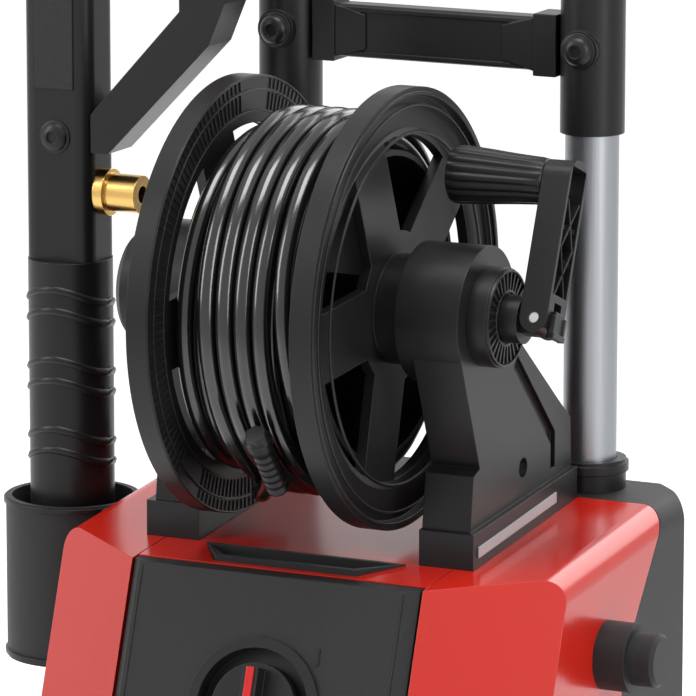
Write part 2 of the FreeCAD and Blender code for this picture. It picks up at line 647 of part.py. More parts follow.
def make_crank_grip():
    inner = "grip_inner_x - hinge_x"
    outer = "-arm_thick / 2 - slide_gap"
    bore = "grip_pin_radius + running_gap"
    head = "grip_pin_radius * 1.8"
    turned(crank_body("crank_grip", "arm_reach"),
           [(inner + " + 4", bore), (outer, bore), (outer, "grip_neck"),
            (inner + " + 24", "grip_radius - 1"), (inner + " + 3", "grip_radius"),
            (inner, "grip_radius - 3"), (inner, head + " + slide_gap"),
            (inner + " + 4", head + " + slide_gap")])
    seat = "-arm_thick / 2 + arm_web"
    turned(crank_body("grip_pin", "arm_reach"),
           [(inner + " + 0.5", "0"), (seat + " + 3", "0"), (seat + " + 3", head), (seat, head),
            (seat, "grip_pin_radius"), (inner + " + 4 - slide_gap", "grip_pin_radius"),
            (inner + " + 4 - slide_gap", head), (inner + " + 0.5", head)])


# ---- telescopic handle ---------------------------------------------------------------------------

def both_tubes(radius):
    return [("tube_x", "tube_back", radius), ("-tube_x", "tube_back", radius)]


def make_tubes():
    pad(body("handle_tubes"), "XY", "tube_foot", "tube_head", *both_tubes("tube_radius"),
        *both_tubes("tube_radius - tube_wall"))
    hole = both_tubes("tube_radius + slide_gap")
    pad(body("tube_guides"), "XY", "guide_foot", REAR_TOP, *both_tubes("guide_radius"), *hole)
    piece = body("tube_collars")
    pad(piece, "XY", REAR_TOP, "collar_top", *both_tubes("collar_radius"), *hole)
    pad(piece, "XY", "collar_top - 7", "collar_top - 2", *both_tubes("collar_lip"),
        *both_tubes("collar_radius - 1"))


def loop_path(drawing):
    """Up one side, over the top and down the other, with round corners."""
    side = "tube_x"
    turn = "tube_x - grip_bend"
    top = "grip_reach"
    low = "grip_reach - grip_bend"
    ends = [(side, "0"), (side, low), (turn, top), (minus(turn), top), (minus(side), low),
            (minus(side), "0")]
    places = [Vector(value(across), value(up), 0) for across, up in ends]
    bend = value("grip_bend")
    corner = bend * 0.5 ** 0.5
    pieces = []
    for index in range(5):
        start, end = places[index], places[index + 1]
        if index in (1, 3):
            centre_x = value(turn) * (1 if index == 1 else -1)
            way = 1 if index == 1 else -1
            middle = Vector(centre_x + way * corner, value(low) + corner, 0)
            curve = Part.Arc(start, middle, end)
            number = drawing.addGeometry(curve, False)
            limit = drawing.addConstraint(Sketcher.Constraint("Radius", number, bend))
            drawing.setExpression("Constraints[%d]" % limit, ref("grip_bend"))
        else:
            number = drawing.addGeometry(Part.LineSegment(start, end), False)
            hold(drawing, (number, 1), *ends[index])
            hold(drawing, (number, 2), *ends[index + 1])
        pieces.append(number)
    for index in (1, 3):
        before, bend_arc, after = pieces[index - 1:index + 2]
        drawing.addConstraint(Sketcher.Constraint("Coincident", bend_arc, 1, before, 2))
        drawing.addConstraint(Sketcher.Constraint("Coincident", bend_arc, 2, after, 1))


def make_grip():
    piece = body("handle_grip")
    pad(piece, "XY", "sleeve_foot", "sleeve_head", *both_tubes("sleeve_radius"))
    foot = "sleeve_head - 6"
    tilt = "-grip_tilt"
    spine = sketch(piece, "XZ", "-tube_back", up=foot, tilt=tilt)
    loop_path(spine)
    section = sketch(piece, "XY", foot, up="tube_back", tilt=tilt)
    draw_circle(section, "tube_x", "0", "grip_bar_radius")
    pipe = piece.newObject("PartDesign::AdditivePipe", "handle_grip_loop")
    pipe.Profile = section
    pipe.Spine = (spine, [])
    cut(piece, "XY", "sleeve_foot", "tube_head + slide_gap",
        *both_tubes("tube_radius + running_gap"))
    pad(piece, "XZ", "boss_front", "boss_front + boss_deep",
        ("tube_x", "bolt_z", "boss_radius"), ("-tube_x", "bolt_z", "boss_radius"))


def make_cross_bar():
    piece = body("cross_bar")
    pad(piece, "YZ", "-(tube_x - sleeve_radius)", "tube_x - sleeve_radius",
        box(("tube_back - bar_half_deep", "bar_low"), ("tube_back + bar_half_deep", "bar_high")))
    soften(piece, "X", "wall")
    piece = body("handle_bolts")
    for radius, low, high in (("boss_radius - 1", "boss_front - 1.5", "boss_front"),
                              ("bolt_radius", "boss_front - bolt_tall", "boss_front - 1.5")):
        pad(piece, "XZ", low, high, ("tube_x", "bolt_z", radius), ("-tube_x", "bolt_z", radius))


# ---- gun and its holder --------------------------------------------------------------------------

def gun_frame(name, z="0"):
    """A body on the gun's upright axis, where the holder stands off the side cover."""
    return body(name, x="-(body_half + holder_radius)", y="gun_y", z=z)


def make_holder():
    piece = gun_frame("gun_holder")
    inside = "holder_radius - holder_wall"
    pad(piece, "XY", "holder_foot", "holder_head", ("0", "0", "holder_radius"), ("0", "0", inside))
    pad(piece, "XY", "holder_foot", "seat_z", ("0", "0", inside + " + 1"),
        ("0", "0", "barrel_radius + holder_gap"))
    pad(piece, "YZ", "holder_radius - holder_wall", "holder_radius",
        box(("-holder_radius + 8", "holder_foot"), ("holder_radius - 8", "holder_head")))
    cut(piece, "YZ", "-holder_radius - 1", "-holder_radius / 2",
        box(("-window_half", "window_low"), ("window_half", "window_high")))


def make_barrel():
    seat = "seat_z + slide_gap"
    turned(gun_frame("gun_barrel"),
           [("socket_radius", "gun_foot"), ("barrel_radius", "gun_foot"),
            ("barrel_radius", seat), ("seat_radius", seat), ("seat_radius", seat + " + 5"),
            ("barrel_radius", seat + " + 9"), ("barrel_radius", "barrel_head"),
            ("0", "barrel_head"), ("0", "gun_foot + 30"), ("socket_radius", "gun_foot + 30")],
           "V_Axis")


def make_housing():
    piece = gun_frame("gun_housing")
    left = "-housing_half"
    right = "housing_half"
    pad(piece, "XZ", "-housing_deep", "housing_deep",
        box((left, "barrel_head"), (right, "housing_head")))
    soften(piece, "Z", "housing_deep / 2")
    piece = gun_frame("gun_handle")
    pad(piece, "XZ", "-guard_deep", "guard_deep",
        [(right, "guard_low"), (right + " + 11", "guard_low"),
         ("handle_outer - 10", "handle_low - 18"), ("handle_outer", "handle_low + 6"),
         ("handle_outer", "guard_head - 12"), ("handle_outer - 10", "guard_head"),
         (left + " + 5", "guard_head"), (left, "guard_head - 8"), (left, "housing_head"),
         ("handle_inner", "housing_head"), ("handle_inner", "handle_low"),
         (right + " + 3", "guard_low + guard_thick + 4"), (right, "guard_low + guard_thick")])
    cut(piece, "XZ", "-trigger_deep / 2 - slide_gap", "trigger_deep / 2 + slide_gap",
        box(("trigger_x - slot_half", "housing_head - 1"), ("trigger_x + slot_half", "slot_head")))
    cut(piece, "XZ", "-guard_deep", "guard_deep",
        ("trigger_x", "pivot_z", "pivot_radius + running_gap"),
        ("lock_x", "lock_z", "lock_radius + running_gap"))


def make_trigger():
    piece = gun_frame("gun_trigger")
    pad(piece, "XZ", "-trigger_deep / 2", "trigger_deep / 2",
        [("trigger_x - trigger_half", "pivot_z + 3"), ("trigger_x + trigger_half", "pivot_z + 3"),
         ("trigger_x + trigger_half", "housing_head - 8"),
         ("trigger_x + trigger_half - 2", "trigger_foot + 26"),
         ("trigger_x + trigger_half - 1", "trigger_foot"),
         ("trigger_x - trigger_half - 1", "trigger_foot"),
         ("trigger_x - trigger_half - 2", "trigger_foot + 26")])
    cut(piece, "XZ", "-trigger_deep / 2", "trigger_deep / 2",
        ("trigger_x", "pivot_z", "pivot_radius + running_gap"))
    pad(gun_frame("trigger_pin"), "XZ", "-guard_deep", "guard_deep",
        ("trigger_x", "pivot_z", "pivot_radius"))
    pad(gun_frame("gun_lock"), "XZ", "-guard_deep - lock_travel", "guard_deep",
        ("lock_x", "lock_z", "lock_radius"))


def make_gun_fittings():
    turned(gun_frame("gun_inlet", "inlet_z"),
           [("housing_half", "5"), ("housing_half", "inlet_radius + 2.5"),
            ("housing_half + 6", "inlet_radius + 2.5"), ("housing_half + 6", "inlet_radius"),
            ("housing_half + 6 + inlet_reach", "inlet_radius"),
            ("housing_half + 6 + inlet_reach", "5")])
    piece = gun_frame("gun_cross_pins")
    for low, high in (("housing_deep", "housing_deep + cap_reach"),
                      ("-housing_deep - cap_reach", "-housing_deep")):
        pad(piece, "XZ", low, high, ("0", "cross_z", "cross_radius"))


# ---- side peg, water, mains and drive --------------------------------------------------------------

def make_peg():
    piece = body("accessory_peg", x="body_half", y="peg_y", z="peg_z")
    turned(piece, [("0", "0"), ("peg_reach", "0"), ("peg_reach", "peg_radius - 2"),
                   ("peg_reach - 2", "peg_radius"), ("peg_collar_reach", "peg_radius"),
                   ("peg_collar_reach", "peg_collar"), ("0", "peg_collar")])


def make_water():
    face = front_y("knee_z") + " - panel_proud"
    piece = body("water_inlet", y=face, z="water_z", turn_x="90")
    turned(piece, [("5", "-20"), ("water_radius", "-20"), ("water_radius", "6"),
                   ("water_thread", "6"), ("water_thread", "water_reach"),
                   ("5", "water_reach")], "V_Axis")
    piece = body("inlet_pipe", z="water_z")
    pad(piece, "XZ", face + " + 20", "motor_y - pump_half", ("0", "0", "riser_radius"))
    piece = body("riser_pipe")
    pad(piece, "XY", "water_z - riser_radius * 1.5", deck_z("motor_y") + " - deck_thick - 1",
        ("riser_x", "motor_y", "riser_radius"))
    pad(piece, "YZ", "riser_x", "-pump_half", ("motor_y", "water_z", "riser_radius"))


def make_gland():
    piece = body("cable_gland", x="gland_x", y="rear_y", z="gland_z", turn_x="-90")
    turned(piece, [("cable_radius", "-8"), ("gland_radius", "-8"), ("gland_radius", "0"),
                   ("gland_radius + 4", "0"), ("gland_radius + 4", "3"),
                   ("gland_radius - 1", "4"), ("cable_radius + 2", "gland_reach"),
                   ("cable_radius", "gland_reach")], "V_Axis")


def make_drive():
    floor = "chassis_bottom + chassis_wall"
    piece = body("pump_head")
    pad(piece, "XY", floor, "motor_low", box(("-pump_half", "motor_y - pump_half"),
                                             ("pump_half", "motor_y + pump_half")))
    soften(piece, "Z", "wall * 2")
    piece = body("motor", y="motor_y")
    turned(piece, [("0", "motor_low"), ("motor_radius", "motor_low"),
                   ("motor_radius", "motor_high"), ("motor_radius - 8", "motor_high + 14"),
                   ("0", "motor_high + 14")], "V_Axis")


# ---- wheels ----------------------------------------------------------------------------------------

def make_wheels():
    axle = body("axle", y="wheel_y", z="wheel_radius")
    end = "body_half + wheel_gap + wheel_width"
    turned(axle, [(minus(end), "0"), (end, "0"), (end, "axle_radius"),
                  (minus(end), "axle_radius")])
    caps = body("axle_caps", y="wheel_y", z="wheel_radius")
    for side in (1, -1):
        low, high = on_side(side, end, end + " + cap_thick")
        pad(caps, "YZ", low, high, ("0", "0", "rim_hub"))
    for side, name in ((1, "right"), (-1, "left")):
        make_wheel(side, name)


def make_wheel(side, name):
    low, high = on_side(side, "body_half + wheel_gap",
                        "body_half + wheel_gap + wheel_width - slide_gap")
    bead = "wheel_radius - tyre_thick"
    tyre = body(name + "_tyre", y="wheel_y", z="wheel_radius")
    turned(tyre, [(low, bead), (high, bead), (high, "wheel_radius - 6"),
                  (high + " - 6", "wheel_radius"), (low + " + 6", "wheel_radius"),
                  (low, "wheel_radius - 6")])
    rim = body(name + "_rim", y="wheel_y", z="wheel_radius")
    turned(rim, ring(low, high, "axle_radius + running_gap", "rim_hub"))
    middle = "(%s + %s) / 2" % (low, high)
    spoke = pad(rim, "YZ", middle + " - rim_wall", middle + " + rim_wall",
                box(("-rim_spoke / 2", "rim_hub - 2"), ("rim_spoke / 2", bead + " - rim_wall + 1")))
    around(rim, spoke, "rim_spokes")
    turned(rim, ring(low + " + 3", high + " - 3", bead + " - rim_wall", bead))


# ---- the whole machine -------------------------------------------------------------------------------

def build():
    make_chassis()
    make_foot()
    make_cover(1, "right_red_cover")
    make_cover(-1, "left_red_cover")
    make_rear_cover()
    make_front_panel()
    make_deck()
    make_vent(1, "right_vent")
    make_vent(-1, "left_vent")
    make_switch()
    make_pedestal(1, "right_pedestal")
    make_pedestal(-1, "left_pedestal")
    make_pedestal_trim()
    make_hub_covers()
    make_reel_core()
    make_flange(1, "right_flange", "right_flange_x - flange_thick")
    make_flange(-1, "left_flange", "left_flange_x")
    make_winding()
    make_shaft()
    make_crank()
    make_crank_grip()
    make_tubes()
    make_grip()
    make_cross_bar()
    make_holder()
    make_barrel()
    make_housing()
    make_trigger()
    make_gun_fittings()
    make_peg()
    make_water()
    make_gland()
    make_drive()
    make_wheels()


def export():
    """Check every object and write one STEP file per sub-part."""
    doc.recompute()
    for item in doc.Objects:
        if "Invalid" in item.State or "Error" in item.State:
            raise RuntimeError("%s: %s" % (item.Name, item.getStatusString()))
    for piece in PIECES:
        if piece.Shape.isNull() or not piece.Shape.isValid():
            raise RuntimeError(piece.Label + " has no valid shape")
    os.makedirs("parts", exist_ok=True)
    for piece in PIECES:
        piece.Shape.exportStep("parts/%s.step" % piece.Label)
        print(piece.Label, len(piece.Shape.Solids), round(piece.Shape.Volume / 1000, 2))
    print(len(PIECES), "sub-parts")


build()
export()
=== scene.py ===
import json
from math import atan2, cos, pi, radians, sin, tau

import bmesh
import bpy
from mathutils import Matrix, Vector


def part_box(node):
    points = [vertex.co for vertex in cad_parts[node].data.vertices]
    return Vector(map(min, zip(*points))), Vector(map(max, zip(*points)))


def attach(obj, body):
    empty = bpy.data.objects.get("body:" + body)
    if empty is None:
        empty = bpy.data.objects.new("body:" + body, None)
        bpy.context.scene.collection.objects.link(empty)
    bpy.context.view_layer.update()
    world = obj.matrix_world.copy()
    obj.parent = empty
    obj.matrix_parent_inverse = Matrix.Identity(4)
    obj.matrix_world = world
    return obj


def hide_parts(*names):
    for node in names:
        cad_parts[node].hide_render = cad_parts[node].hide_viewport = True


# An electric pressure washer: red covers round a black front, a hose reel with its crank
# between two pedestals, a push handle behind and the trigger gun in its holder on the left.
# Shapes are drawn in millimetres, in the part's own frame, and become metres in "place".

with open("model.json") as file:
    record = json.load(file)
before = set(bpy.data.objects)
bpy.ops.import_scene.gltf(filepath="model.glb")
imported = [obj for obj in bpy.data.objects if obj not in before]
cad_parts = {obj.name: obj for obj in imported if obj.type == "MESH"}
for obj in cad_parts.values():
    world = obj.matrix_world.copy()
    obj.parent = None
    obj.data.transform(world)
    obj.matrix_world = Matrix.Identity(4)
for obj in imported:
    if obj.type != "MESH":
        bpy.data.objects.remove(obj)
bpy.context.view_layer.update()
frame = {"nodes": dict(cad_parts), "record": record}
NODES = frame["nodes"]

REEL = Vector((0, 92, 641))
GUN_X, GUN_Y = -190, 152
X, Z = Vector((1, 0, 0)), Vector((0, 0, 1))


# ---- camera and light ----------------------------------------------------------------------

def set_camera():
    turn, pitch, distance = radians(25.7), radians(11.6), 3.2166
    target = Vector((0.0126, 0.092, 0.6164))
    back = Vector((sin(turn) * cos(pitch), -cos(turn) * cos(pitch), sin(pitch)))
    data = bpy.data.cameras.new("studio_camera")
    data.lens, data.sensor_width = 307.2, 36
    camera = bpy.data.objects.new("studio_camera", data)
    camera.location = target + back * distance
    camera.rotation_euler = (-back).to_track_quat("-Z", "Y").to_euler()
    bpy.context.scene.collection.objects.link(camera)
    bpy.context.scene.camera = camera


def soft_box(name, place_at, aim, width, height, power):
    data = bpy.data.lights.new(name, "AREA")
    data.shape, data.size, data.size_y, data.energy = "RECTANGLE", width, height, power
    lamp = bpy.data.objects.new(name, data)
    lamp.location = place_at
    lamp.rotation_euler = (Vector(aim) - Vector(place_at)).to_track_quat("-Z", "Y").to_euler()
    bpy.context.scene.collection.objects.link(lamp)


def seen_directly(tree):
    """1 where the camera, a reflection or a clear material looks, 0 for light that falls."""
    rays = tree.nodes.new("ShaderNodeLightPath")
    total = rays.outputs["Is Camera Ray"]
    for ray in ("Is Glossy Ray", "Is Transmission Ray"):
        larger = tree.nodes.new("ShaderNodeMath")
        larger.operation = "MAXIMUM"
        tree.links.new(total, larger.inputs[0])
        tree.links.new(rays.outputs[ray], larger.inputs[1])
        total = larger.outputs[0]
    return total


def light_studio():
    soft_box("light_left", (-1.7, -1.2, 1.5), (0, 0.1, 0.6), 0.7, 1.6, 26)
    soft_box("light_right", (1.9, -0.7, 1.3), (0, 0.1, 0.6), 0.6, 1.5, 24)
    soft_box("light_top", (0.1, -0.2, 2.3), (0, 0.15, 0.5), 1.1, 0.8, 26)
    soft_box("light_back", (0.4, 1.9, 1.6), (0, 0.2, 0.6), 1.4, 1.2, 16)
    world = bpy.data.worlds.new("studio_world")
    bpy.context.scene.world = world
    world.use_nodes = True
    tree = world.node_tree
    background = tree.nodes["Background"]
    background.inputs["Color"].default_value = (1, 1, 1, 1)
    level = tree.nodes.new("ShaderNodeMapRange")
    level.inputs["To Min"].default_value, level.inputs["To Max"].default_value = 0.26, 1
    tree.links.new(seen_directly(tree), level.inputs["Value"])
    tree.links.new(level.outputs["Result"], background.inputs["Strength"])


def set_colour_view():
    bpy.context.scene.view_settings.view_transform = "Standard"


def lay_floor():
    shape = bmesh.new()
    bmesh.ops.create_circle(shape, cap_ends=True, segments=96, radius=6)
    data = bpy.data.meshes.new("studio_floor")
    shape.to_mesh(data)
    shape.free()
    floor = bpy.data.objects.new("studio_floor", data)
    bpy.context.scene.collection.objects.link(floor)
    pale = bpy.data.materials.new("pale_floor")
    pale.use_nodes = True
    tree = pale.node_tree
    shader = tree.nodes["Principled BSDF"]
    shader.inputs["Base Color"].default_value = (0.82, 0.82, 0.82, 1)
    shader.inputs["Roughness"].default_value = 0.9
    shader.inputs["Emission Color"].default_value = (1, 1, 1, 1)
    level = tree.nodes.new("ShaderNodeMath")
    level.operation = "MULTIPLY"
    level.inputs[1].default_value = 0.75
    tree.links.new(seen_directly(tree), level.inputs[0])
    tree.links.new(level.outputs[0], shader.inputs["Emission Strength"])
    data.materials.append(pale)


set_colour_view()
set_camera()
light_studio()
lay_floor()


# ---- effects that the finishes share -------------------------------------------------------

def effect(name, inputs, outputs):
    """An empty shader group with its named sockets."""
    tree = bpy.data.node_groups.new(name, "ShaderNodeTree")
    for label, kind, start in inputs:
        socket = tree.interface.new_socket(label, in_out="INPUT", socket_type=kind)
        if start is not None:
            socket.default_value = start
    for label, kind in outputs:
        tree.interface.new_socket(label, in_out="OUTPUT", socket_type=kind)
    return tree, tree.nodes.new("NodeGroupInput"), tree.nodes.new("NodeGroupOutput")


def add(tree, kind, **settings):
    """A node with its plain settings, and its sockets linked or filled by their names."""
    node = tree.nodes.new("ShaderNode" + kind)
    for name, given in settings.items():
        if hasattr(node, name) and name not in node.inputs:
            setattr(node, name, given)
            continue
        socket = node.inputs[int(name[1:]) if name[0] == "_" else name.replace("_", " ")]
        if isinstance(given, bpy.types.NodeSocket):
            tree.links.new(given, socket)
        else:
            socket.default_value = given
    return node


VALUE, VECTOR = "NodeSocketFloat", "NodeSocketVector"


def make_moulded_grain():
    """The fine sparkle of a moulded or cast surface: its bump and a mottled mask."""
    tree, given, out = effect(
        "moulded_grain",
        [("Place", VECTOR, None), ("Grains per metre", VALUE, 1500), ("Depth", VALUE, 0.1),
         ("Normal", VECTOR, None)],
        [("Normal", VECTOR), ("Mottle", VALUE)])
    fine = add(tree, "TexNoise", Vector=given.outputs["Place"], Detail=3.0, Roughness=0.6,
               Scale=given.outputs["Grains per metre"])
    bump = add(tree, "Bump", Strength=given.outputs["Depth"], Distance=0.0006,
               Height=fine.outputs["Fac"], Normal=given.outputs["Normal"])
    broad = add(tree, "TexNoise", Vector=given.outputs["Place"], Scale=22.0, Detail=5.0)
    both = add(tree, "Math", operation="MULTIPLY", _0=fine.outputs["Fac"], _1=broad.outputs["Fac"])
    tree.links.new(bump.outputs["Normal"], out.inputs["Normal"])
    tree.links.new(both.outputs[0], out.inputs["Mottle"])
    return tree


def make_brushed_lines():
    """Fine drawn lines that run along one direction of a metal piece."""
    tree, given, out = effect(
        "brushed_lines",
        [("Place", VECTOR, None), ("Stretch", VECTOR, (900, 900, 6)), ("Depth", VALUE, 0.1),
         ("Normal", VECTOR, None)],
        [("Normal", VECTOR), ("Lines", VALUE)])
    drawn = add(tree, "VectorMath", operation="MULTIPLY", _0=given.outputs["Place"],
                _1=given.outputs["Stretch"])
    lines = add(tree, "TexNoise", Vector=drawn.outputs[0], Scale=1.0, Detail=4.0, Roughness=0.7)
    bump = add(tree, "Bump", Strength=given.outputs["Depth"], Distance=0.0004,
               Height=lines.outputs["Fac"], Normal=given.outputs["Normal"])
    tree.links.new(bump.outputs["Normal"], out.inputs["Normal"])
    tree.links.new(lines.outputs["Fac"], out.inputs["Lines"])
    return tree


def make_edge_wear():
    """Edges rounded by light, and a broken mask along them where the surface is rubbed."""
    tree, given, out = effect(
        "edge_wear",
        [("Place", VECTOR, None), ("Radius", VALUE, 0.0008), ("Amount", VALUE, 0.3)],
        [("Normal", VECTOR), ("Wear", VALUE)])
    rounded = add(tree, "Bevel", samples=6, Radius=given.outputs["Radius"])
    flat = add(tree, "NewGeometry")
    facing = add(tree, "VectorMath", operation="DOT_PRODUCT", _0=rounded.outputs["Normal"],
                 _1=flat.outputs["Normal"])
    edge = add(tree, "MapRange", Value=facing.outputs["Value"], From_Min=0.99, From_Max=0.75)
    patches = add(tree, "TexNoise", Vector=given.outputs["Place"], Scale=60.0, Detail=6.0)
    broken = add(tree, "MapRange", Value=patches.outputs["Fac"], From_Min=0.42, From_Max=0.62)
    worn = add(tree, "Math", operation="MULTIPLY", _0=edge.outputs["Result"],
               _1=broken.outputs["Result"])
    scaled = add(tree, "Math", operation="MULTIPLY", _0=worn.outputs[0],
                 _1=given.outputs["Amount"])
    tree.links.new(rounded.outputs["Normal"], out.inputs["Normal"])
    tree.links.new(scaled.outputs[0], out.inputs["Wear"])
    return tree


def make_settled_dust():
    """A thin film of dust on the faces that look up."""
    tree, given, out = effect(
        "settled_dust", [("Place", VECTOR, None), ("Amount", VALUE, 0.1)], [("Dust", VALUE)])
    geometry = add(tree, "NewGeometry")
    parts = add(tree, "SeparateXYZ", Vector=geometry.outputs["Normal"])
    upward = add(tree, "MapRange", Value=parts.outputs["Z"], From_Min=0.2, From_Max=1.0)
    specks = add(tree, "TexNoise", Vector=given.outputs["Place"], Scale=240.0, Detail=8.0,
                 Roughness=0.75)
    film = add(tree, "MapRange", Value=specks.outputs["Fac"], From_Min=0.45, From_Max=0.8)
    both = add(tree, "Math", operation="MULTIPLY", _0=upward.outputs["Result"],
               _1=film.outputs["Result"])
    scaled = add(tree, "Math", operation="MULTIPLY", _0=both.outputs[0],
                 _1=given.outputs["Amount"])
    tree.links.new(scaled.outputs[0], out.inputs["Dust"])
    return tree


GRAIN, BRUSHED = make_moulded_grain(), make_brushed_lines()
WEAR, DUST = make_edge_wear(), make_settled_dust()


def use(tree, shared, **settings):
    node = tree.nodes.new("ShaderNodeGroup")
    node.node_tree = shared
    for name, given in settings.items():
        socket = node.inputs[name.replace("_", " ")]
        if isinstance(given, bpy.types.NodeSocket):
            tree.links.new(given, socket)
        else:
            socket.default_value = given
    return node


def mixed(tree, amount, first, second):
    mix = tree.nodes.new("ShaderNodeMix")
    mix.data_type = "RGBA"
    tree.links.new(amount, mix.inputs[0])
    for socket, given in ((mix.inputs[6], first), (mix.inputs[7], second)):
        if isinstance(given, bpy.types.NodeSocket):
            tree.links.new(given, socket)
        else:
            socket.default_value = (*given, 1)
    return mix.outputs[2]


def finish(name, colour, second, rough, *, grains=1500, depth=0.1, edge=0.0007, wear=0.25,
           worn=(0.12, 0.12, 0.12), dust=0.06, metal=0, coat=0, specular=0.4, lines=None):
    """One finish: two close tones by its grain, rubbed edges and a film of dust."""
    material = bpy.data.materials.new(name)
    material.use_nodes = True
    tree = material.node_tree
    shader = tree.nodes["Principled BSDF"]
    place_on = add(tree, "TexCoord").outputs["Object"]
    edges = use(tree, WEAR, Place=place_on, Radius=edge, Amount=wear)
    if lines:
        surface = use(tree, BRUSHED, Place=place_on, Stretch=lines, Depth=depth,
                      Normal=edges.outputs["Normal"])
        mask = surface.outputs["Lines"]
    else:
        surface = use(tree, GRAIN, Place=place_on, Grains_per_metre=grains, Depth=depth,
                      Normal=edges.outputs["Normal"])
        mask = surface.outputs["Mottle"]
    toned = mixed(tree, mask, colour, second)
    rubbed = mixed(tree, edges.outputs["Wear"], toned, worn)
    film = use(tree, DUST, Place=place_on, Amount=dust)
    dusty = mixed(tree, film.outputs["Dust"], rubbed, (0.4, 0.38, 0.35))
    tree.links.new(dusty, shader.inputs["Base Color"])
    spread = add(tree, "MapRange", Value=mask, To_Min=rough - 0.06, To_Max=rough + 0.08)
    tree.links.new(spread.outputs["Result"], shader.inputs["Roughness"])
    tree.links.new(surface.outputs["Normal"], shader.inputs["Normal"])
    shader.inputs["Metallic"].default_value = metal
    shader.inputs["Coat Weight"].default_value = coat
    shader.inputs["Coat Roughness"].default_value = 0.12
    shader.inputs["Specular IOR Level"].default_value = specular
    return material


RED = finish("red_gloss_cover", (0.56, 0.014, 0.005), (0.47, 0.010, 0.004), 0.26, grains=2600,
             depth=0.02, wear=0.12, worn=(0.7, 0.12, 0.06), dust=0.02, coat=0.25)
STIPPLE = finish("black_stippled_panel", (0.009, 0.009, 0.0095), (0.017, 0.017, 0.018), 0.5,
                 grains=1900, depth=0.75, dust=0.015, specular=0.28)
SATIN = finish("black_satin_plastic", (0.008, 0.008, 0.0085), (0.013, 0.013, 0.014), 0.36,
               grains=2400, depth=0.1, dust=0.012, specular=0.26)
RUBBER = finish("black_rubber", (0.014, 0.014, 0.014), (0.024, 0.024, 0.024), 0.7,
                grains=1700, depth=0.35, dust=0.1, wear=0.15, specular=0.3)
TYRE = finish("tyre_rubber", (0.017, 0.017, 0.018), (0.03, 0.03, 0.031), 0.75, grains=1300,
              depth=0.4, dust=0.16, wear=0.3, specular=0.3)
GREY = finish("light_grey_plastic", (0.42, 0.43, 0.44), (0.48, 0.49, 0.5), 0.4, grains=2200,
              depth=0.08, wear=0.1, worn=(0.6, 0.6, 0.6))
STEEL = finish("zinc_plated_steel", (0.52, 0.52, 0.5), (0.66, 0.66, 0.64), 0.3, depth=0.1,
               metal=1, wear=0.2, worn=(0.8, 0.8, 0.8), lines=(8, 700, 700))
TUBE = finish("brushed_tube", (0.25, 0.26, 0.275), (0.35, 0.36, 0.38), 0.36, depth=0.16, metal=1,
              wear=0.1, worn=(0.7, 0.7, 0.7), lines=(900, 900, 7))
CAST = finish("cast_aluminium", (0.34, 0.34, 0.34), (0.5, 0.5, 0.5), 0.5, grains=900,
              depth=0.4, metal=1, worn=(0.7, 0.7, 0.7))
PAINT = finish("motor_paint", (0.05, 0.05, 0.055), (0.07, 0.07, 0.075), 0.4, grains=900,
               depth=0.25)
BRASS = finish("machined_brass", (0.55, 0.33, 0.09), (0.72, 0.47, 0.17), 0.24, depth=0.12,
               metal=1, wear=0.3, worn=(0.9, 0.7, 0.35), lines=(30, 900, 900))
ORANGE = finish("orange_trigger", (0.8, 0.1, 0.012), (0.7, 0.08, 0.01), 0.3, grains=2400,
                depth=0.05, wear=0.1, worn=(0.9, 0.3, 0.1))
SIGNAL = finish("red_pointer", (0.62, 0.012, 0.01), (0.5, 0.01, 0.008), 0.3, grains=2400,
                depth=0.05, wear=0.1, worn=(0.8, 0.2, 0.15))
HOSE = finish("glossy_hose", (0.006, 0.006, 0.0065), (0.011, 0.011, 0.012), 0.2, grains=1200,
              depth=0.05, wear=0, dust=0.02, coat=0.2, specular=0.6)

FINISHES = {
    "red_cover": RED, "textured_black": STIPPLE, "satin_black": SATIN, "rubber": RUBBER,
    "tyre": TYRE, "light_grey": GREY, "steel": STEEL, "tube_aluminium": TUBE,
    "cast_aluminium": CAST, "motor_paint": PAINT, "brass": BRASS, "trigger_orange": ORANGE,
    "signal_red": SIGNAL, "hose": HOSE,
}


# ---- drawing -------------------------------------------------------------------------------

def place(name, shape, body, slot, replaces=(), smooth=32, round_by=0.0):
    """Turns a drawing into a finished piece in its slot's finish, riding on its body."""
    bmesh.ops.remove_doubles(shape, verts=shape.verts, dist=0.002)
    bmesh.ops.recalc_face_normals(shape, faces=shape.faces)
    bmesh.ops.scale(shape, vec=(0.001, 0.001, 0.001), verts=shape.verts)
    data = bpy.data.meshes.new(name)
    shape.to_mesh(data)
    shape.free()
    data.materials.append(FINISHES[slot])
    data.shade_smooth()
    data.set_sharp_from_angle(angle=radians(smooth))
    piece = bpy.data.objects.new(name, data)
    bpy.context.scene.collection.objects.link(piece)
    if round_by:
        rounded = piece.modifiers.new("rounded_edges", "BEVEL")
        rounded.width, rounded.segments = round_by / 1000, 2
        rounded.limit_method, rounded.angle_limit = "ANGLE", radians(smooth)
        rounded.harden_normals = True
    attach(piece, body)
    if replaces:
        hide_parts(*replaces)
    return piece


def ring(shape, corners, centre, along, segments=96):
    """Corners of (radius, distance along) turned all the way round an axis."""
    way = Vector(along).normalized()
    side = way.orthogonal().normalized()
    verts = [shape.verts.new(Vector(centre) + side * r + way * h) for r, h in corners]
    edges = [shape.edges.new((a, b)) for a, b in zip(verts, verts[1:] + verts[:1])]
    bmesh.ops.spin(shape, geom=verts + edges, cent=centre, axis=way, angle=tau,
                   steps=segments, use_merge=True)


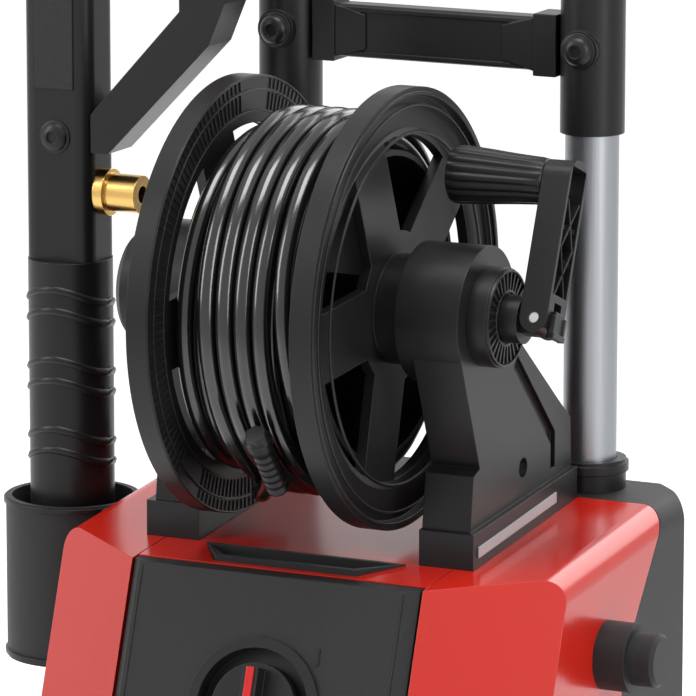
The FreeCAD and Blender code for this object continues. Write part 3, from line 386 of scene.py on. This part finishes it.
def block(shape, low, high, turn=None):
    """A plain box between two corners, turned by a matrix when one is given."""
    low, high = Vector(low), Vector(high)
    made = bmesh.ops.create_cube(shape, size=1)["verts"]
    bmesh.ops.transform(shape, matrix=Matrix.Diagonal((high - low).to_4d()), verts=made)
    bmesh.ops.translate(shape, vec=(low + high) / 2, verts=made)
    if turn:
        bmesh.ops.transform(shape, matrix=turn, verts=made)
    return made


def slab(shape, corners, along):
    """A flat outline pushed along one way into a closed solid."""
    face = shape.faces.new([shape.verts.new(c) for c in corners])
    grown = bmesh.ops.extrude_face_region(shape, geom=[face])["geom"]
    moved = [v for v in grown if isinstance(v, bmesh.types.BMVert)]
    bmesh.ops.translate(shape, vec=along, verts=moved)


def about_reel(angle):
    """Turns a drawing made on the reel's upper side to an angle from Z towards the back."""
    return Matrix.Translation(REEL) @ Matrix.Rotation(-radians(angle), 4, "X")


SLOT_OF = {part["node"]: part["material_slot"] for part in frame["record"]["subparts"]}


# ---- hose ----------------------------------------------------------------------------------

HOSE_THICK = 10
TURN_POINTS = 36
SEAT_ANGLE, SEAT_OUT, SEAT_X = -128, 113.4, 8
FIRST_TURNS, SECOND_TURNS = 7, 5
FIRST_OUT, LAYER_STEP, END_STEP = 90.4, 10.1, 10.2
END_POINTS = 16


def around_reel(x, out, angle):
    """A point beside the reel's axis, by its angle from Z towards the back."""
    turn = radians(angle)
    return REEL + Vector((x, out * sin(turn), out * cos(turn)))


def hose_line():
    """The hose's run: a first layer to the right, a looser one back, and the end on top."""
    grow = 1 / cos(pi / TURN_POINTS)
    points = []
    start = SEAT_ANGLE - 360 * (FIRST_TURNS + SECOND_TURNS) - 40
    first = FIRST_TURNS * TURN_POINTS
    for i in range(first + 1):
        part = i / first
        now = start + part * 360 * FIRST_TURNS
        points.append(around_reel(-42 + part * 71.5, FIRST_OUT * grow, now))
    angle = start + 360 * FIRST_TURNS
    second = SECOND_TURNS * TURN_POINTS
    for i in range(1, second + 1):
        part = i / second
        now = angle + part * 360 * SECOND_TURNS
        climb = min(1, i / 10)
        swing = 3.4 * sin(radians(now) - 0.6) * min(1, i / 14)
        x = 29.5 - 3.2 * climb - part * 53.5 + swing
        out = FIRST_OUT + climb * LAYER_STEP + 0.5 * sin(radians(3 * now)) * climb
        points.append(around_reel(x, out * grow, now))
    angle += 360 * SECOND_TURNS
    left_x = points[-1].x - REEL.x
    for i in range(1, END_POINTS + 1):
        part = i / END_POINTS
        ease = part * part * (3 - 2 * part)
        x = left_x + (SEAT_X - left_x) * ease
        out = FIRST_OUT + LAYER_STEP + END_STEP * min(1, part * 2.2)
        points.append(around_reel(x, out * grow, angle + part * (SEAT_ANGLE - angle)))
    return points


def wind_hose():
    line = [point / 1000 for point in hose_line()]
    curve = bpy.data.curves.new("hose", "CURVE")
    curve.dimensions = "3D"
    spline = curve.splines.new("NURBS")
    spline.points.add(len(line) - 1)
    for point, at in zip(spline.points, line):
        point.co = (*at, 1)
    spline.order_u = 3
    spline.use_endpoint_u = True
    curve.resolution_u = 3
    curve.bevel_depth, curve.bevel_resolution = HOSE_THICK / 2000, 5
    curve.use_fill_caps = True
    curve.materials.append(HOSE)
    hose = bpy.data.objects.new("hose", curve)
    bpy.context.scene.collection.objects.link(hose)
    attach(hose, "reel")
    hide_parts("hose_winding")



# ---- reel ----------------------------------------------------------------------------------

def make_flange_ribs():
    """Two bands of fine radial ribs on the left flange's inner face, in five runs."""
    shape = bmesh.new()
    for low, high, wide in ((101.5, 111, 0.55), (113, 118.5, 0.45)):
        for begin, count in ((-62, 24), (14, 24), (84, 20), (158, 22), (226, 26)):
            made = block(shape, (-48.2, -wide / 2, low), (-47.3, wide / 2, high),
                         about_reel(begin))
            bmesh.ops.spin(shape, geom=faces_of(made), cent=REEL, axis=X,
                           angle=-radians(2.4 * count), steps=count, use_duplicate=True)
    for radius in (100.4, 112, 119.3):
        ring(shape, [(radius - 0.5, -48.2), (radius + 0.5, -48.2), (radius + 0.4, -47.2),
                     (radius - 0.4, -47.2)], REEL, X, 120)
    place("left_flange_ribs", shape, "reel", "satin_black")


def faces_of(verts):
    faces = {face for vert in verts for face in vert.link_faces}
    edges = {edge for vert in verts for edge in vert.link_edges}
    return list(verts) + list(edges) + list(faces)


def make_flange_rings():
    """Three raised rings on each flange's outer face."""
    for name, out, way in (("right_flange_rings", 48, 1), ("left_flange_rings", -60, -1)):
        shape = bmesh.new()
        for radius, wide, tall in ((116.6, 1.1, 0.8), (110.2, 0.7, 0.6), (95.6, 1.0, 0.7)):
            base, top = out - way * 0.2, out + way * tall
            ring(shape, [(radius - wide, base), (radius + wide, base),
                         (radius + wide * 0.6, top), (radius - wide * 0.6, top)], REEL, X, 120)
        place(name, shape, "reel", "satin_black")


def make_hose_fitting():
    """The crimped sleeve, ring collar and six-sided end on the hose's last turn."""
    turn = radians(SEAT_ANGLE)
    centre = around_reel(SEAT_X, SEAT_OUT, SEAT_ANGLE)
    along = Vector((0, cos(turn), -sin(turn)))
    shape = bmesh.new()
    sleeve = [(0.2, -22.8), (5.4, -22.8), (6.2, -21.8)]
    for at in range(-19, 8, 5):
        sleeve += [(6.2, at), (5.7, at + 0.9), (5.7, at + 2.1), (6.2, at + 3)]
    sleeve += [(6.2, 12), (7.4, 12.8), (7.4, 18), (6.4, 18.8), (5.6, 19.6), (0.2, 19.6)]
    ring(shape, sleeve, centre, along, 40)
    ring(shape, [(0.2, 19), (6.3, 19), (6.3, 22.4), (5.7, 22.9), (0.2, 22.9)], centre, along, 6)
    return place("hose_fitting_crimped", shape, "reel", "satin_black",
                 replaces=("hose_fitting",), round_by=0.3)


# ---- crank ---------------------------------------------------------------------------------

def make_fluted_grip():
    """The turning grip: a waisted round body with eighteen soft flutes along it."""
    low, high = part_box("crank_grip")
    centre = (low + high) * 500
    centre.x = 0
    shape = bmesh.new()
    outer = [(7.4, 63), (13.6, 63), (15.4, 64), (16, 66), (16, 70), (15.6, 76), (15, 84),
             (14.3, 92), (13.7, 100), (13.2, 108), (12.9, 114), (12.3, 117.6), (11.4, 118.7),
             (7.4, 118.7)]
    ring(shape, outer, centre, X, 144)
    for vert in shape.verts:
        spoke = Vector((0, vert.co.y - centre.y, vert.co.z - centre.z))
        if spoke.length > 11 and 65.5 < vert.co.x < 115:
            turn = sin(18 * atan2(spoke.y, spoke.z)) * 0.5 + 0.5
            vert.co -= spoke * (0.07 * turn * turn)
    place("crank_grip_fluted", shape, "crank_handle", "satin_black", replaces=("crank_grip",))


# ---- bolts, pins and marks -----------------------------------------------------------------

def domed_bolt(shape, centre, along, radius, tall):
    """A washer with a domed head and its driving recess."""
    ring(shape, [(0.2, 0), (radius, 0), (radius, tall * 0.18), (radius * 0.92, tall * 0.25),
                 (radius * 0.84, tall * 0.25), (radius * 0.82, tall * 0.5),
                 (radius * 0.68, tall * 0.8), (radius * 0.42, tall), (radius * 0.36, tall),
                 (radius * 0.36, tall * 0.7), (0.2, tall * 0.7)], centre, along, 48)


def make_bolts():
    shape = bmesh.new()
    for side in (-93, 93):
        domed_bolt(shape, (side, 217, 767), (0, -1, 0), 10, 6)
    place("handle_bolts_domed", shape, "handle", "satin_black", replaces=("handle_bolts",))
    shape = bmesh.new()
    for y, way in ((135, -1), (169, 1)):
        domed_bolt(shape, (GUN_X, y, 711), (0, way, 0), 9.5, 4)
    place("gun_pins_domed", shape, "gun", "satin_black", replaces=("gun_cross_pins",))


def on_panel(x, up, out):
    """A point by its place on the leaning front panel, from the switch's centre."""
    return Vector((x, 0.2, 435)) + Vector((0, 0.3305, 0.9438)) * up + \
        Vector((0, -0.9438, 0.3305)) * out


def make_switch_marks():
    """The raised I beside the switch."""
    shape = bmesh.new()
    block(shape, (33.3, 27, 0), (34.7, 36, 0.7))
    onto = Matrix.Translation(on_panel(0, 0, -0.1)) @ Matrix(
        ((1, 0, 0, 0), (0, 0.3305, -0.9438, 0), (0, 0.9438, 0.3305, 0), (0, 0, 0, 1)))
    bmesh.ops.transform(shape, matrix=onto, verts=shape.verts)
    place("switch_marks", shape, "washer", "satin_black")


# ---- gun -----------------------------------------------------------------------------------

def make_gun_ridges():
    """Finger ridges that sweep round the gun's lower body, and the strips on its housing."""
    barrel_radius, sweep, drop = 24, 9, 4
    shape = bmesh.new()
    for at in (528, 540, 568, 580, 608, 620):
        made = len(shape.verts)
        ring(shape, [(23.2, -2.6), (24.6, -1.8), (25.3, 0), (24.6, 1.8), (23.2, 2.6)],
             (GUN_X, GUN_Y, at), Z, 72)
        shape.verts.ensure_lookup_table()
        for vert in shape.verts[made:]:
            across = (vert.co.x - GUN_X) / barrel_radius
            side = 1 if vert.co.y < GUN_Y else -1
            vert.co.z += sweep * (1 - across * across) * side - drop
    place("gun_finger_ridges", shape, "gun", "satin_black", smooth=50)
    shape = bmesh.new()
    block(shape, (GUN_X - 12, 134.1, 738), (GUN_X + 12, 135.2, 856))
    block(shape, (GUN_X - 12, 168.8, 738), (GUN_X + 12, 169.9, 856))
    place("gun_grip_strips", shape, "gun", "textured_black", round_by=0.5)


def make_holder_lips():
    """Thin raised bands round the holder's upper and lower edges."""
    shape = bmesh.new()
    for base in (411, 499):
        grown = [(37.6, base), (39.2, base + 0.6), (39.2, base + 3), (37.6, base + 3.6)]
        ring(shape, grown, (GUN_X, GUN_Y, 0), Z, 96)
    place("gun_holder_lips", shape, "washer", "satin_black")


# ---- wheels --------------------------------------------------------------------------------

def make_treads():
    """Slanted tread bars in two rows round both tyres."""
    for name, centre_x, body in (("right_tread", 178.85, "right_wheel"),
                                 ("left_tread", -178.85, "left_wheel")):
        shape = bmesh.new()
        hub = Vector((centre_x, 212, 115))
        for low, high, lean in ((-16, -2, 0.125), (2, 16, -0.125)):
            made = block(shape, (low, -1.6, 113.2), (high, 1.6, 115),
                         Matrix.Translation(hub) @ Matrix.Rotation(lean, 4, "Z"))
            bmesh.ops.spin(shape, geom=faces_of(made), cent=hub, axis=X, angle=tau, steps=48,
                           use_duplicate=True)
        place(name, shape, body, "tyre")


make_flange_ribs()
make_flange_rings()
fitting = make_hose_fitting()
wind_hose()
make_fluted_grip()
make_bolts()
make_switch_marks()
make_gun_ridges()
make_holder_lips()
make_treads()


# ---- small parts of the crank, bearing and handle ------------------------------------------

def make_bearing_ribs():
    """Short ribs in the bearing collar's recess, between two thin rings."""
    shape = bmesh.new()
    made = block(shape, (104.8, -0.6, 15), (107.2, 0.6, 24.5), about_reel(0))
    bmesh.ops.spin(shape, geom=faces_of(made), cent=REEL, axis=X, angle=tau, steps=30,
                   use_duplicate=True)
    for radius in (25.6, 14.6):
        ring(shape, [(radius - 0.8, 105), (radius + 0.8, 105), (radius + 0.5, 107.6),
                     (radius - 0.5, 107.6)], REEL, X, 96)
    place("bearing_ribs", shape, "washer", "satin_black")


def make_arm_ribs():
    """Crossed stiffening ribs in the crank arm's channel and the latch at its foot."""
    shape = bmesh.new()
    lean = about_reel(22)
    for low, high in ((12, 40), (40, 66)):
        for way in (-1, 1):
            slab(shape, [Vector((134.9, way * -8.5, low)), Vector((134.9, way * -7.1, low)),
                         Vector((134.9, way * 8.5, high)), Vector((134.9, way * 7.1, high))],
                 (-4.6, 0, 0))
    block(shape, (134.8, -5.6, -9), (137.2, 5.6, 5))
    block(shape, (134.8, -8, -9.6), (138.6, 8, -6.4))
    block(shape, (134.8, -8, -9.6), (138.2, -5.4, 3))
    block(shape, (134.8, 5.4, -9.6), (138.2, 8, 3))
    bmesh.ops.transform(shape, matrix=lean, verts=shape.verts)
    place("crank_arm_ribs", shape, "crank", "satin_black", round_by=0.4)


def make_bar_gussets():
    """Stepped ends and long ribs on the push handle's cross bar."""
    shape = bmesh.new()
    for side in (-1, 1):
        block(shape, (side * 75, 226.6, 749.5), (side * 61, 247.4, 784.5))
        slab(shape, [Vector((side * 61, 229, 782)), Vector((side * 61, 229, 752)),
                     Vector((side * 42, 229, 757)), Vector((side * 42, 229, 777))], (0, -1.6, 0))
    block(shape, (-61, 227.8, 778), (61, 229.2, 781))
    block(shape, (-61, 227.8, 753), (61, 229.2, 756))
    place("cross_bar_ends", shape, "handle", "satin_black", round_by=0.8)


def make_cover_seams():
    """Two fine raised lines down the sides of the front panel."""
    shape = bmesh.new()
    for x, low, high in ((-78, -95, 70), (78, -95, 70)):
        corners = [on_panel(x - 0.5, low, -0.2), on_panel(x + 0.5, low, -0.2),
                   on_panel(x + 0.5, high, -0.2), on_panel(x - 0.5, high, -0.2)]
        slab(shape, corners, Vector((0, -0.9438, 0.3305)) * 0.6)
    place("front_panel_lines", shape, "washer", "textured_black")


make_bearing_ribs()
make_arm_ribs()
make_bar_gussets()
make_cover_seams()


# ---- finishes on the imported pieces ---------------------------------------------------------

def dress_packed_pieces():
    for node, piece in NODES.items():
        if node in SLOT_OF:
            piece.data.materials.clear()
            piece.data.materials.append(FINISHES[SLOT_OF[node]])


dress_packed_pieces()
